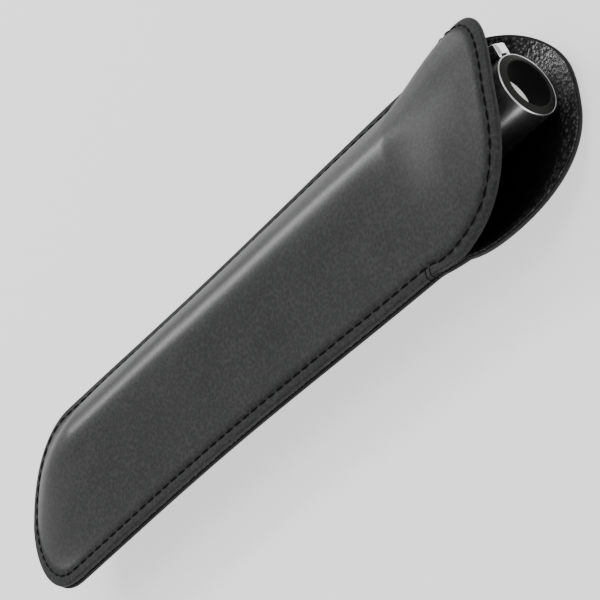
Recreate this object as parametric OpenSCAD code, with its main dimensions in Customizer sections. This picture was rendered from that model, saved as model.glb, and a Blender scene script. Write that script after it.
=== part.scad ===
/* [Leather case] */
// Width across the sewn seams at the mouth
case_w = 41.5; // [36:0.1:50]
// Length from the closed end to the ends of the side seams
seam_l = 121.2; // [115:0.1:140]
// How much narrower the closed end is, as a share of the width
taper = 0.033; // [0:0.001:0.1]
// Length of the rounded closed end at the left
foot_left = 12.2; // [11:0.1:20]
// Length of the rounded closed end at the right
foot_right = 15.1; // [12:0.1:20]
// Share of the width drawn in half-way along the seams
waist = 0.05; // [0:0.001:0.06]
// Sideways bend of the case half-way along the seams
bend = -0.38; // [-1:0.01:0]
// Roundness of the closed end across its left half
foot_p_left = 2.68; // [1.6:0.01:3]
// Roundness of the closed end across its right half
foot_p_right = 1.6; // [1.5:0.01:2.6]
// Roundness of the closed end along
foot_q = 2.13; // [1.5:0.01:3.4]
// Width of the sewn margin on the front
front_margin = 2.6; // [2.3:0.1:3.6]
// Width of the sewn margin on the back
back_margin = 3.3; // [3:0.1:4]
// Rise of the sewn margin from its edge
margin_rise = 0.5; // [0:0.1:1]
// Thickness of the outer leather
leather_t = 0.7; // [0.5:0.05:1.2]
// Thickness of the lining
lining_t = 0.3; // [0.2:0.05:0.5]

/* [Pocket] */
// Inside height of the front panel at the middle of the case
front_belly = 8.7; // [8:0.1:11]
// Inside height of the front panel at the mouth
front_mouth = 8.7; // [8.5:0.1:12]
// Length over which the front rises to the mouth
mouth_l = 25; // [15:1:40]
// Inside height of the front tongue at its tip
front_tip = 5.6; // [5:0.1:8]
// Inside depth of the back panel
back_depth = 10; // [9.6:0.1:12]
// Inside depth of the back tongue at its tip
back_tip = 8.6; // [8.5:0.1:10]
// Sideways place of the crest, as a share of half the width
crest = -0.15; // [-0.2:0.01:0]
// Length over which the front rises from the closed end
front_dome = 24; // [14:0.5:30]
// Length over which the back rises from the closed end
back_dome = 15; // [12:0.5:24]
// Part of the back's arch that is pressed flat
flat_share = 0.985; // [0.97:0.001:0.99]

/* [Tongues] */
// Length of the front tongue past the seams
front_tongue = 23.8; // [18:0.1:28]
// Length of the back tongue past the seams
back_tongue = 27.1; // [22:0.1:32]
// How much the front tongue opens out sideways
front_flare = 0.185; // [0.05:0.005:0.25]
// How much the back tongue opens out sideways
back_flare = 0.23; // [0.1:0.005:0.3]

/* [Stitching] */
// Distance from one stitch to the next
stitch_pitch = 2.45; // [2:0.05:3.2]
// Thread radius
thread_r = 0.2; // [0.12:0.01:0.3]
// Room between a stitch and the leather under it
thread_gap = 0.04; // [0.01:0.01:0.1]
// Distance of the stitch line from the edge
stitch_inset = 2; // [1.6:0.05:2.1]

/* [Pen] */
// Length of the capped pen
pen_l = 132.5; // [128:0.5:133]
// Distance from the closed end of the case to the tail of the pen
pen_start = 12; // [11.5:0.1:13]
// Sideways place of the pen
pen_x = -2.9; // [-3.2:0.1:-2.4]
// Height of the pen's axis over the seam plane
pen_z = -1.95; // [-2.1:0.05:-1.8]
// Outer radius of the cap
cap_r = 6.1; // [5.9:0.05:6.15]
// Length of the cap
cap_l = 62; // [58:0.5:64]
// Wall of the cap tube
cap_wall = 0.55; // [0.45:0.05:0.6]
// Radius of the barrel
barrel_r = 5.9; // [5.6:0.05:6]
// Radius of the recess in the cap's end
recess_r = 4.4; // [4:0.05:4.6]
// Depth of the recess in the cap's end
recess_d = 4.5; // [3:0.5:7]
// Radius of the grip at its thick end
grip_r = 4.55; // [4.4:0.05:4.6]
// Length of the grip
grip_l = 17; // [14:0.5:19]
// Length of the nib past the grip
nib_l = 20; // [16:0.5:21]
// Radius of the converter's tube
converter_r = 3.2; // [2.8:0.1:3.4]
// Length of the barrel's rounded tail
tail_l = 5; // [4:0.5:7]
// Radius of the flat at the barrel's tail
tail_r = 1.6; // [1:0.1:2.5]
// Length of the tail plug inside the barrel
plug_l = 3; // [2:0.5:4]
// Distance from the tail to the full width of the barrel
swell_l = 44; // [36:1:50]
// Width of the bright band at the cap's lip
lip_l = 2.2; // [1.5:0.1:3]
// Width of the bright band on the barrel
band_l = 1.5; // [1:0.1:2]
// Radius of the nib's curve
nib_r = 3; // [2.8:0.05:3.1]
// Thickness of the nib
nib_t = 0.4; // [0.3:0.05:0.5]
// Length of the nib inside the grip
nib_in = 9; // [7:0.5:11]
// Length of the clip arm
clip_l = 35; // [30:0.5:38]
// Width of the clip
clip_w = 3; // [2.6:0.1:3.2]
// Angle of the clip around the cap, over the left side
clip_turn = 35; // [30:1:38]

/* [Fits] */
// Running clearance on a radius
run_gap = 0.05; // [0.03:0.01:0.08]
// Clearance between loose pieces
loose_gap = 0.3; // [0.25:0.05:0.4]

/* [Hidden] */
panel_t = leather_t + lining_t;
half = case_w / 2;
total_l = seam_l + max(front_tongue, back_tongue);
ground = back_depth + panel_t;
fold_front = 0.02;
fold_back = 0.06;
edge_cols = 5;
belly_cols = 22;
edge_rows = 2;
foot_rows = 7;
mid_rows = 6;
mouth_rows = 15;
rows = edge_rows + foot_rows + mid_rows + mouth_rows;
cap_bore = cap_r - cap_wall;
lip_z = pen_l - cap_l;
shoulder_z = lip_z - loose_gap;
tail_end_r = barrel_r - 0.8;
tail_flat = 0.5;
neck_l = 9.5;
neck_r = cap_bore - 0.2;
neck_end = shoulder_z + neck_l;
barrel_bore = neck_r - 1.05;
tenon_l = 14;
tenon_start = neck_end - tenon_l;
ring_t = 1.2;
grip_start = neck_end + ring_t;
grip_end = grip_start + grip_l;
grip_step_r = grip_r - 0.15;
ring_base = pen_l - recess_d - 1;
disc_t = 1;
liner_start = grip_start + 2;
liner_top = 3;
crown_l = 14;
liner_bore = grip_r + 0.25;
socket_l = 4;
nib_base = grip_end - nib_in;
nib_tip = grip_end + nib_l;
nib_wide_z = grip_end + 0.25 * nib_l;
vent_z = grip_end + 0.4 * nib_l;
vent_r = 0.5;
slit_w = 0.12;
tip_w = 0.7;
feed_r = nib_r - nib_t - 0.05;
fins = 7;
converter_l = 36;
converter_wall = 0.6;
collar_l = 6;
piston_l = 3.5;
converter_start = tenon_start - converter_l + socket_l;
converter_end = converter_start + converter_l;
converter_out = converter_r - run_gap;
converter_in = converter_r - converter_wall;
knob_l = 12;
piston_stroke = 18;
rod_in = 1;
rod_r = 0.85;
clip_pivot_z = pen_l - 1.7;
clip_in = cap_r + loose_gap;
clip_t = 1;
clip_out = clip_in + clip_t;
pin_r = 0.35;
ear_w = (clip_w - 1.6) / 2;
ear_in = cap_r - 0.12;
clip_mid = clip_in + clip_t / 2;
clip_start = clip_pivot_z - clip_l;

// 0 to 1 with soft ends
function ease(t) = t <= 0 ? 0 : t >= 1 ? 1 : t * t * (3 - 2 * t);
function foot_l(u) = u < 0 ? foot_left : foot_right;
function foot_p(u) = u < 0 ? foot_p_left : foot_p_right;
// closed end of the outline, as a height over the end
function foot(u) = foot_l(u) * (1 - pow(max(0, 1 - pow(abs(u), foot_p(u))), 1 / foot_q));
// share of half the width that the closed end reaches at a height over the end
function reach(u, y) = pow(1 - pow(1 - max(0, min(1, y / foot_l(u))), foot_q), 1 / foot_p(u));
// how much longer the margin is along the case than across its edge
function skew(u) = let (e = 0.01, v = max(e - 1, min(1 - e, u)))
    sqrt(1 + pow((foot(v + e) - foot(v - e)) / (2 * e * half), 2));
// distance of a place from the sewn edge
function from_edge(u, y) = let (
        a = max(0, (reach(u, y) - abs(u)) * half), b = max(0, y - foot(u)))
    a * b / max(0.001, norm([a, b]));
function margin(s) = s > 0 ? front_margin : back_margin;
// where the margin folds, as a share of half the width
function flat_u(s) = 1 - margin(s) / half;
function tongue_l(s) = s > 0 ? front_tongue : back_tongue;
function tongue_p(s) = s > 0 ? 2.9 : 2.29;
function tongue_q(s) = s > 0 ? 2.14 : 2.2;
function flare(s) = s > 0 ? front_flare : back_flare;
// rim of a tongue over the ends of the seams
function rim(s, u) = tongue_l(s) * pow(max(0, 1 - pow(abs(u), tongue_p(s))), 1 / tongue_q(s));
// half the width of a panel at a distance from the closed end
function half_w(s, y) = half
    * (1 - taper * (1 - min(y, seam_l) / seam_l) - waist * pow(sin(180 * min(1, y / seam_l)), 2))
    * (1 + flare(s) * sin(90 * max(0, min(1, (y - seam_l) / tongue_l(s)))));
// sideways place of the middle of the case
function mid_x(y) = bend * sin(180 * max(0, min(1, y / seam_l)));
// inside height of a panel along its crest
function crown(s, y) = let (past = max(0, y - seam_l) / tongue_l(s))
    s > 0 ? (front_belly + (front_mouth - front_belly) * ease((y - seam_l + mouth_l) / mouth_l))
            + (front_tip - front_mouth) * past
          : back_depth + (back_tip - back_depth) * past;
// how far the mouth has opened, 0 in the sewn part and 1 on the tongues
function open(y, before) = ease((y - seam_l + before) / (before + 12));
// a tent with a rounded ridge, 1 on the ridge and 0 at the edge
function tent(c) = let (p = 1.06, r = 0.2, low = pow(r, p))
    1 - (pow(c * c + r * r, p / 2) - low) / (pow(1 + r * r, p / 2) - low);
// share of the crown reached across the panel
function arch(s, u, y) = let (
        edge = flat_u(s) + (1 - flat_u(s)) * open(y, 4),
        c = min(1, abs(u - crest * (1 - min(1, u * u / edge / edge))) / edge),
        wide = open(y, 6),
        back = min(flat_share, 1 - pow(c, 4 - 1.17 * open(y, 4))) / flat_share)
    s > 0 ? tent(c) * (1 - wide) + (1 - pow(c, 2.35)) * wide : back;
// share of the crown reached past the closed end
function dome_l(s) = s > 0 ? front_dome : back_dome;
function fold_y(s, u) = foot(u) + margin(s) * skew(max(-flat_u(s), min(flat_u(s), u)));
function dome(s, u, y) = 1 - pow(1 - max(0, min(1, (y - fold_y(s, u)) / dome_l(s))), 1.6);
// height of the sewn margin, and of the line that both panels leave from
function lift(u, y) = margin_rise * (1 - open(y, 4)) * min(1, from_edge(u, y) / front_margin);
// a place on the inner face of a panel, s = 1 for the front and -1 for the back
function inner(s, u, y) = let (z = lift(u, y))
    [half_w(s, y) * u + mid_x(y), y, z + (s * crown(s, y) - z) * arch(s, u, y) * dome(s, u, y)];
// the normal is taken over a short width, so the outer face stays sound inside the folds
function outward(s, u, y, along = 1) = let (
        e = s > 0 ? fold_front : fold_back,
        du = inner(s, u + e, y) - inner(s, u - e, y),
        dy = inner(s, u, y + 0.1) - inner(s, u, y - 0.1),
        n = s * cross(du, dy),
        m = [abs(u) > 0.999 ? 0 : n.x, n.y * along, n.z])
    m / norm(m);
function place(s, u, y, off, along = 1) = inner(s, u, y) + off * outward(s, u, y, along);
// distance from the closed end at a row of the grid
function row_y(s, u, i) = let (
        low = foot(u), fold = fold_y(s, u), first = fold + dome_l(s),
        last = seam_l - mouth_l, top = seam_l + rim(s, u),
        j = i - edge_rows, k = j - foot_rows, m = k - mid_rows)
    j <= 0 ? low + (fold - low) * i / edge_rows
    : k <= 0 ? fold + dome_l(s) * j / foot_rows
    : m <= 0 ? first + (last - first) * k / mid_rows
    : last + (top - last) * m / mouth_rows;
// places of the grid's columns across a panel, with one on each fold of the sewn margin
function columns(s) = let (
        edge = [for (k = [0:edge_cols - 1]) 1 - (1 - flat_u(s)) * pow(k / edge_cols, 1.5)],
        belly = [for (k = [0:belly_cols]) flat_u(s) * sin(180 * (k / belly_cols - 0.5))])
    concat(-edge, belly, [for (k = [1:edge_cols]) edge[edge_cols - k]]);

// a skin between two distances from the inner face of a panel
module skin(s, from, to) {
    us = columns(s);
    n = len(us);
    cols = n - 1;
    layer = n * (rows + 1);
    points = [for (off = [to, from], i = [0:rows], u = us)
        place(s, u, row_y(s, u, i), off, i == 0 || i == rows ? 0 : 1)];
    function cell(i, j) = [i * n + j, i * n + j + 1, (i + 1) * n + j + 1, (i + 1) * n + j];
    function two(q) = [[q[0], q[2], q[1]], [q[0], q[3], q[2]]];
    function back(f) = [f[0], f[2], f[1]];
    top = [for (i = [0:rows - 1], j = [0:cols - 1]) each two(cell(i, j))];
    under = [for (f = top) back(f + [layer, layer, layer])];
    loop = concat([for (j = [0:cols - 1]) j], [for (i = [0:rows - 1]) i * n + cols],
        [for (j = [cols:-1:1]) rows * n + j], [for (i = [rows:-1:1]) i * n]);
    count = len(loop);
    wall = [for (k = [0:count - 1]) let (a = loop[k], b = loop[(k + 1) % count])
        each [[a, b, b + layer], [a, b + layer, a + layer]]];
    faces = concat(top, under, wall);
    polyhedron(points, s > 0 ? faces : [for (f = faces) back(f)]);
}

// the outline of a panel seen from the front, from the tip of the tongue round to the tip
function outline(s) = concat(
    [for (i = [0:40]) let (u = -sin(90 * i / 40), y = seam_l + rim(s, u)) [half_w(s, y) * u + mid_x(y), y]],
    [for (i = [1:24]) let (y = seam_l + (foot_left - seam_l) * i / 24) [mid_x(y) - half_w(s, y), y]],
    [for (i = [1:60]) let (u = -cos(180 * i / 60), y = foot(u)) [half_w(s, y) * u + mid_x(y), y]],
    [for (i = [1:24]) let (y = foot_right + (seam_l - foot_right) * i / 24) [mid_x(y) + half_w(s, y), y]],
    [for (i = [1:40]) let (u = cos(90 * i / 40), y = seam_l + rim(s, u)) [half_w(s, y) * u + mid_x(y), y]]);
function turned(v) = [-v.y, v.x] / max(norm(v), 0.0001);
// the same outline moved in by a distance
function inset(path, d) = [for (i = [0:len(path) - 1])
    let (a = path[max(0, i - 1)], b = path[min(len(path) - 1, i + 1)]) path[i] + d * turned(b - a)];
// distances along a path
function run(path, i = 0, sum = 0) = i >= len(path) ? [] : let (
        step = i == 0 ? 0 : norm(path[i] - path[i - 1]))
    concat([sum + step], run(path, i + 1, sum + step));
function across(s, p) = (p.x - mid_x(p.y)) / half_w(s, p.y);
function on_top(s, p, off) = place(s, across(s, p), p.y, panel_t + off);

module thread(a, b, r = thread_r) {
    d = b - a;
    translate(a) rotate([0, acos(d.z / norm(d)), atan2(d.y, d.x)]) cylinder(h = norm(d), r = r, $fn = 16);
}
// a thread laid on a panel between two places, raised where the panel curves up between them
// and where the folds of the margins run out at the mouth
module raised_thread(s, p, q) {
    middle = (p + q) / 2;
    gap = thread_gap * (1 + 5 * max(0, 1 - abs(middle.y - seam_l - 1.5) / 5));
    n = outward(s, across(s, middle), middle.y);
    a = on_top(s, p, thread_r + gap);
    b = on_top(s, q, thread_r + gap);
    rise = max([for (t = [0:0.25:1]) (on_top(s, p + t * (q - p), thread_r + gap) - a - t * (b - a)) * n]);
    thread(a + rise * n, b + rise * n);
}
module stitch_line(s) {
    line = inset(outline(s), stitch_inset);
    dist = run(line);
    xs = [for (i = [0:len(line) - 1]) [dist[i], line[i].x]];
    ys = [for (i = [0:len(line) - 1]) [dist[i], line[i].y]];
    whole = dist[len(dist) - 1];
    count = floor(whole / stitch_pitch);
    pitch = whole / count;
    function at(d) = [lookup(d, xs), lookup(d, ys)];
    // on the back the line breaks off in the hollow where the margins run out
    for (k = [0:count - 1])
        if (s > 0 || abs(at((k + 0.5) * pitch).y - seam_l - 1.8) > 1.4)
            raised_thread(s, at((k + 0.14) * pitch), at((k + 0.86) * pitch));
}
// threads wrapped over the edge where a side seam ends
module tack(side) {
    reach = stitch_inset - 0.4;
    for (k = [0, 1]) {
        y = seam_l - 1.2 - k * 1.1;
        x = half_w(1, y);
        m = mid_x(y);
        for (s = [1, -1])
            raised_thread(s, [m + side * (x - reach), y], [m + side * (x - 0.01), y]);
        z = panel_t + 2 * thread_r + thread_gap;
        wrap = m + side * (x + thread_r + thread_gap);
        thread([wrap, y, -z], [wrap, y, z]);
    }
}

// case pieces stand on the flat of the back, with the middle of the length at the origin
module case_frame() translate([0, -total_l / 2, ground]) children();
// pen pieces are drawn upright from the tail
module pen_frame() case_frame() translate([pen_x, pen_start, pen_z]) rotate([-90, 0, 0]) children();
module turn_profile(points) rotate_extrude($fn = 96) polygon(points);

module front_leather() color([0.16, 0.16, 0.17]) case_frame() skin(1, lining_t, panel_t);
module front_lining() color([0.06, 0.06, 0.06]) case_frame() skin(1, 0, lining_t);
module back_leather() color([0.16, 0.16, 0.17]) case_frame() skin(-1, lining_t, panel_t);
module back_lining() color([0.06, 0.06, 0.06]) case_frame() skin(-1, 0, lining_t);
module front_stitches() color([0.05, 0.05, 0.05]) case_frame() stitch_line(1);
module back_stitches() color([0.05, 0.05, 0.05]) case_frame() stitch_line(-1);
module left_tack() color([0.05, 0.05, 0.05]) case_frame() tack(-1);
module right_tack() color([0.05, 0.05, 0.05]) case_frame() tack(1);

// the barrel is a tube, closed by the tail, with a neck that the cap slides over
module barrel() color([0.05, 0.05, 0.05]) pen_frame() turn_profile([
    [barrel_bore, tail_l], [tail_end_r, tail_l], [barrel_r - 0.25, 0.45 * swell_l], [barrel_r, swell_l],
    [barrel_r, shoulder_z - band_l], [neck_r, shoulder_z - band_l], [neck_r, neck_end],
    [barrel_bore, neck_end]]);
module barrel_band() color([0.8, 0.8, 0.82]) pen_frame() turn_profile([
    [neck_r, shoulder_z - band_l], [barrel_r + 0.1, shoulder_z - band_l], [barrel_r + 0.1, shoulder_z],
    [neck_r, shoulder_z]]);
module barrel_tail() color([0.05, 0.05, 0.05]) pen_frame() turn_profile(concat(
    [[0, 0]],
    [for (a = [0:15:90]) [tail_r + (tail_end_r - tail_r) * sin(a), (tail_l - tail_flat) * (1 - cos(a))]],
    [[tail_end_r, tail_l], [barrel_bore, tail_l], [barrel_bore, tail_l + plug_l], [0, tail_l + plug_l]]));

module grip() color([0.05, 0.05, 0.05]) pen_frame() difference() {
    turn_profile([[0, tenon_start], [barrel_bore - run_gap, tenon_start], [barrel_bore - run_gap, neck_end],
        [grip_step_r, neck_end], [grip_step_r, grip_start], [grip_r, grip_start],
        [grip_r - 0.3, grip_start + grip_l * 0.5], [grip_r - 0.75, grip_end - 2.4],
        [grip_r - 0.3, grip_end - 0.6], [grip_r - 0.4, grip_end], [0, grip_end]]);
    translate([0, 0, nib_base - 1]) cylinder(h = nib_in + 2, r = nib_r, $fn = 64);
    translate([0, 0, tenon_start - 1]) cylinder(h = socket_l + 1, r = converter_r, $fn = 64);
}
module grip_ring() color([0.8, 0.8, 0.82]) pen_frame() turn_profile([
    [grip_step_r, neck_end], [neck_r, neck_end], [neck_r, grip_start], [grip_step_r, grip_start]]);
// the nib is a curved sheet that narrows to a point, slit up to a round hole
module nib() color([0.85, 0.85, 0.86]) pen_frame() difference() {
    intersection() {
        difference() {
            translate([0, 0, nib_base]) cylinder(h = nib_in + nib_l, r = nib_r, $fn = 64);
            translate([0, 0, nib_base - 1]) cylinder(h = nib_in + nib_l + 2, r = nib_r - nib_t, $fn = 64);
        }
        rotate([90, 0, 0]) linear_extrude(height = 2 * nib_r) polygon([
            [-0.9 * nib_r, nib_base], [0.9 * nib_r, nib_base], [0.93 * nib_r, nib_wide_z],
            [tip_w / 2, nib_tip], [-tip_w / 2, nib_tip], [-0.93 * nib_r, nib_wide_z]]);
    }
    translate([0, 0, vent_z]) rotate([90, 0, 0]) cylinder(h = 2 * nib_r, r = vent_r, $fn = 32);
    translate([-slit_w / 2, -2 * nib_r, vent_z]) cube([slit_w, 2 * nib_r, nib_l]);
}
// the feed lies under the nib, with fins across it
module feed() color([0.04, 0.04, 0.04]) pen_frame() difference() {
    turn_profile([[0, nib_base - 0.5], [feed_r, nib_base - 0.5], [feed_r, grip_end + 0.15 * nib_l],
        [0.75 * feed_r, grip_end + 0.55 * nib_l], [0, grip_end + 0.7 * nib_l]]);
    for (k = [0:fins - 1]) translate([-nib_r, 0.4, grip_end + (0.05 + 0.065 * k) * nib_l])
        cube([2 * nib_r, nib_r, 0.025 * nib_l]);
    translate([-nib_r, -nib_r, grip_end + 0.1 * nib_l]) cube([2 * nib_r, nib_r - 0.55 * feed_r, nib_l]);
}

// the converter plugs into the grip, and its knob draws the piston back
module converter_tube() color([0.75, 0.78, 0.8, 0.5]) pen_frame() turn_profile([
    [converter_in, converter_start], [converter_out, converter_start],
    [converter_out, converter_end], [converter_in, converter_end]]);
module converter_collar() color([0.8, 0.8, 0.82]) pen_frame() turn_profile([
    [converter_out, converter_start], [converter_r + 0.5, converter_start],
    [converter_r + 0.5, converter_start + collar_l], [converter_out, converter_start + collar_l]]);
module converter_knob() color([0.05, 0.05, 0.05]) pen_frame() turn_profile([
    [rod_r + run_gap, converter_start - loose_gap], [converter_r, converter_start - loose_gap],
    [converter_r, converter_start - knob_l], [rod_r + run_gap, converter_start - knob_l]]);
module piston() color([0.1, 0.1, 0.1]) pen_frame()
    translate([0, 0, converter_start + piston_stroke + collar_l])
    cylinder(h = piston_l, r = converter_in - run_gap, $fn = 96);
module piston_rod() color([0.8, 0.8, 0.82]) pen_frame() translate([0, 0, converter_start - rod_in])
    cylinder(h = piston_stroke + collar_l + rod_in, r = rod_r, $fn = 48);

module cap_tube() color([0.8, 0.8, 0.82]) pen_frame() turn_profile([
    [cap_bore, lip_z + lip_l], [cap_r, lip_z + lip_l], [cap_r, pen_l - crown_l],
    [cap_r - 0.12, pen_l - 0.25], [cap_r - 0.3, pen_l], [cap_bore, pen_l]]);
module cap_lip_ring() color([0.8, 0.8, 0.82]) pen_frame() turn_profile([
    [cap_bore, lip_z], [cap_r - 0.1, lip_z], [cap_r + 0.05, lip_z + 0.3], [cap_r + 0.05, lip_z + lip_l],
    [cap_bore, lip_z + lip_l]]);
module cap_liner() color([0.05, 0.05, 0.05]) pen_frame() turn_profile([
    [liner_bore, liner_start], [cap_bore, liner_start], [cap_bore, ring_base], [0, ring_base],
    [0, ring_base - liner_top], [liner_bore, ring_base - liner_top]]);
module cap_end_ring() color([0.05, 0.05, 0.05]) pen_frame() turn_profile([
    [recess_r, ring_base], [cap_bore, ring_base], [cap_bore, pen_l - 0.15], [recess_r + 0.35, pen_l - 0.15],
    [recess_r, pen_l - 0.5]]);
module cap_end_disc() color([0.85, 0.85, 0.86]) pen_frame() translate([0, 0, ring_base])
    cylinder(h = disc_t, r = recess_r, $fn = 96);

// the clip is drawn on the +X side, then turned round the cap
module clip_frame() pen_frame() rotate([0, 0, 180 + clip_turn]) children();
module pivot(r, w) translate([clip_mid, -w / 2, clip_pivot_z]) rotate([-90, 0, 0])
    cylinder(h = w, r = r, $fn = 32);
module clip_pin() color([0.8, 0.8, 0.82]) clip_frame() pivot(pin_r, clip_w);
module clip_lug() color([0.8, 0.8, 0.82]) clip_frame() difference() {
    union() for (s = [-1, 1])
        translate([ear_in, s * (clip_w - ear_w) / 2 - ear_w / 2, clip_pivot_z - 1])
            cube([clip_out - ear_in, ear_w, 2]);
    pivot(pin_r, 2 * clip_w);
    cylinder(h = pen_l, r = cap_r, $fn = 96);
}
module clip_arm() color([0.8, 0.8, 0.82]) clip_frame() difference() {
    union() {
        translate([clip_in, -0.7, clip_pivot_z - 2]) cube([clip_t, 1.4, 2.9]);
        translate([clip_in, -clip_w / 2, clip_start]) cube([clip_t, clip_w, clip_l - 1.3]);
        translate([clip_mid, 0, clip_start]) rotate([0, 90, 0])
            cylinder(h = clip_t, r = clip_w / 2, center = true, $fn = 48);
    }
    pivot(pin_r + run_gap, 2 * clip_w);
}

front_leather();
front_lining();
back_leather();
back_lining();
front_stitches();
back_stitches();
left_tack();
right_tack();
barrel();
barrel_tail();
barrel_band();
grip();
grip_ring();
nib();
feed();
converter_tube();
converter_collar();
converter_knob();
piston();
piston_rod();
cap_tube();
cap_lip_ring();
cap_liner();
cap_end_ring();
cap_end_disc();
clip_lug();
clip_pin();
clip_arm();
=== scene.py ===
import math
import random

import bpy
import numpy as np
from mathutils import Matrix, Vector
from mathutils.bvhtree import BVHTree


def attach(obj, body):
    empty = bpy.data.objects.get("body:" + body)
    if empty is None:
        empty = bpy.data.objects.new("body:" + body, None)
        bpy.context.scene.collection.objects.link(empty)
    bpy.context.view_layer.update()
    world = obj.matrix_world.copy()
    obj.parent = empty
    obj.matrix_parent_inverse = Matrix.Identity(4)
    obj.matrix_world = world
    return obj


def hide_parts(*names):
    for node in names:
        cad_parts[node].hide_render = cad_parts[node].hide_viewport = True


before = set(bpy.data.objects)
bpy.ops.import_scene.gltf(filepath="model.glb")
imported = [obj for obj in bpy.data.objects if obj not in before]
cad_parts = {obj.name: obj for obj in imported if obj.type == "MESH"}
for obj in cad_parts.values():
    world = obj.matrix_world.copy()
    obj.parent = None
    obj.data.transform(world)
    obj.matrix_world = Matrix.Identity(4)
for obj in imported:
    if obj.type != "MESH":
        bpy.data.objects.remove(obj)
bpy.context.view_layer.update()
mm = 0.001  # sizes below are in millimetres
print("frame loaded")

# the leather case, measured from its closed end (y) and from the plane of its seams (z)
sleeve = {
    "width": 41.5, "seamLength": 121.2, "taper": 0.033, "waist": 0.05, "bend": -0.38,
    "footLeft": 12.2, "footRight": 15.1, "footLeftAcross": 2.68, "footRightAcross": 1.6, "footAlong": 2.13,
    "frontMargin": 2.6, "backMargin": 3.3, "marginRise": 0.5, "leather": 0.7, "lining": 0.3,
    "frontBelly": 8.7, "frontMouth": 8.7, "mouthLength": 25.0, "frontTip": 5.6,
    "backDepth": 10.0, "backTip": 8.6, "crest": -0.15, "flatShare": 0.985,
    "frontDome": 24.0, "backDome": 15.0,
    "frontTongue": 23.8, "backTongue": 27.1, "frontFlare": 0.185, "backFlare": 0.23,
    "frontRimAcross": 2.9, "frontRimAlong": 2.14, "backRimAcross": 2.29, "backRimAlong": 2.2,
    "domeCurve": 1.6, "ridgePower": 1.06, "ridgeRound": 0.2, "mouthCurve": 2.35,
    "backCurve": 4, "backMouthLoss": 1.17, "opensBefore": 4, "flattensBefore": 6, "opensAfter": 12,
}
halfSleeve = sleeve["width"] / 2
seamLength = sleeve["seamLength"]
panelThickness = sleeve["leather"] + sleeve["lining"]
totalLength = seamLength + max(sleeve["frontTongue"], sleeve["backTongue"])
caseOrigin = np.array([0.0, -totalLength / 2, sleeve["backDepth"] + panelThickness])


def ease(t):
    t = np.clip(t, 0, 1)
    return t * t * (3 - 2 * t)


def footLength(u):
    return np.where(u < 0, sleeve["footLeft"], sleeve["footRight"])


def footAcross(u):
    return np.where(u < 0, sleeve["footLeftAcross"], sleeve["footRightAcross"])


def footLine(u):
    inside = np.clip(1 - np.abs(u) ** footAcross(u), 0, 1)
    return footLength(u) * (1 - inside ** (1 / sleeve["footAlong"]))


def footReach(u, y):
    left = 1 - np.clip(y / footLength(u), 0, 1)
    return (1 - left ** sleeve["footAlong"]) ** (1 / footAcross(u))


skewStep = 0.01


def marginSkew(u):
    v = np.clip(u, skewStep - 1, 1 - skewStep)
    rise = footLine(v + skewStep) - footLine(v - skewStep)
    return np.sqrt(1 + (rise / (2 * skewStep * halfSleeve)) ** 2)


def fromSewnEdge(u, y):
    across = np.maximum(0, (footReach(u, y) - np.abs(u)) * halfSleeve)
    along = np.maximum(0, y - footLine(u))
    return across * along / np.maximum(0.001, np.hypot(across, along))


def marginWidth(side):
    return sleeve["frontMargin"] if side > 0 else sleeve["backMargin"]


def flatAcross(side):
    return 1 - marginWidth(side) / halfSleeve


def tongueLength(side):
    return sleeve["frontTongue"] if side > 0 else sleeve["backTongue"]


def tongueRim(side, u):
    across = sleeve["frontRimAcross"] if side > 0 else sleeve["backRimAcross"]
    along = sleeve["frontRimAlong"] if side > 0 else sleeve["backRimAlong"]
    return tongueLength(side) * np.clip(1 - np.abs(u) ** across, 0, 1) ** (1 / along)


def halfWidth(side, y):
    flare = sleeve["frontFlare"] if side > 0 else sleeve["backFlare"]
    past = np.clip((y - seamLength) / tongueLength(side), 0, 1)
    share = np.minimum(y, seamLength) / seamLength
    shrink = 1 - sleeve["taper"] * (1 - share) - sleeve["waist"] * np.sin(np.pi * share) ** 2
    return halfSleeve * shrink * (1 + flare * np.sin(np.pi / 2 * past))


def middle(y):
    return sleeve["bend"] * np.sin(np.pi * np.clip(y / seamLength, 0, 1))


def crownHeight(side, y):
    past = np.maximum(0, y - seamLength) / tongueLength(side)
    if side > 0:
        rise = ease((y - seamLength + sleeve["mouthLength"]) / sleeve["mouthLength"])
        body = sleeve["frontBelly"] + (sleeve["frontMouth"] - sleeve["frontBelly"]) * rise
        return body + (sleeve["frontTip"] - sleeve["frontMouth"]) * past
    return sleeve["backDepth"] + (sleeve["backTip"] - sleeve["backDepth"]) * past


def mouthOpen(y, before):
    return ease((y - seamLength + before) / (before + sleeve["opensAfter"]))


def tentShape(c):
    power, ridge = sleeve["ridgePower"], sleeve["ridgeRound"]
    low = ridge ** power
    return 1 - ((c * c + ridge ** 2) ** (power / 2) - low) / ((1 + ridge ** 2) ** (power / 2) - low)


def archShare(side, u, y):
    opening = mouthOpen(y, sleeve["opensBefore"])
    edge = flatAcross(side) + (1 - flatAcross(side)) * opening
    shift = sleeve["crest"] * (1 - np.minimum(1, (u / edge) ** 2))
    c = np.minimum(1, np.abs(u - shift) / edge)
    if side > 0:
        wide = mouthOpen(y, sleeve["flattensBefore"])
        return tentShape(c) * (1 - wide) + (1 - c ** sleeve["mouthCurve"]) * wide
    curve = sleeve["backCurve"] - sleeve["backMouthLoss"] * opening
    return np.minimum(sleeve["flatShare"], 1 - c ** curve) / sleeve["flatShare"]


def foldLine(side, u):
    flat = flatAcross(side)
    return footLine(u) + marginWidth(side) * marginSkew(np.clip(u, -flat, flat))


def domeLength(side):
    return sleeve["frontDome"] if side > 0 else sleeve["backDome"]


def domeShare(side, u, y):
    left = 1 - np.clip((y - foldLine(side, u)) / domeLength(side), 0, 1)
    return 1 - left ** sleeve["domeCurve"]


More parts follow.
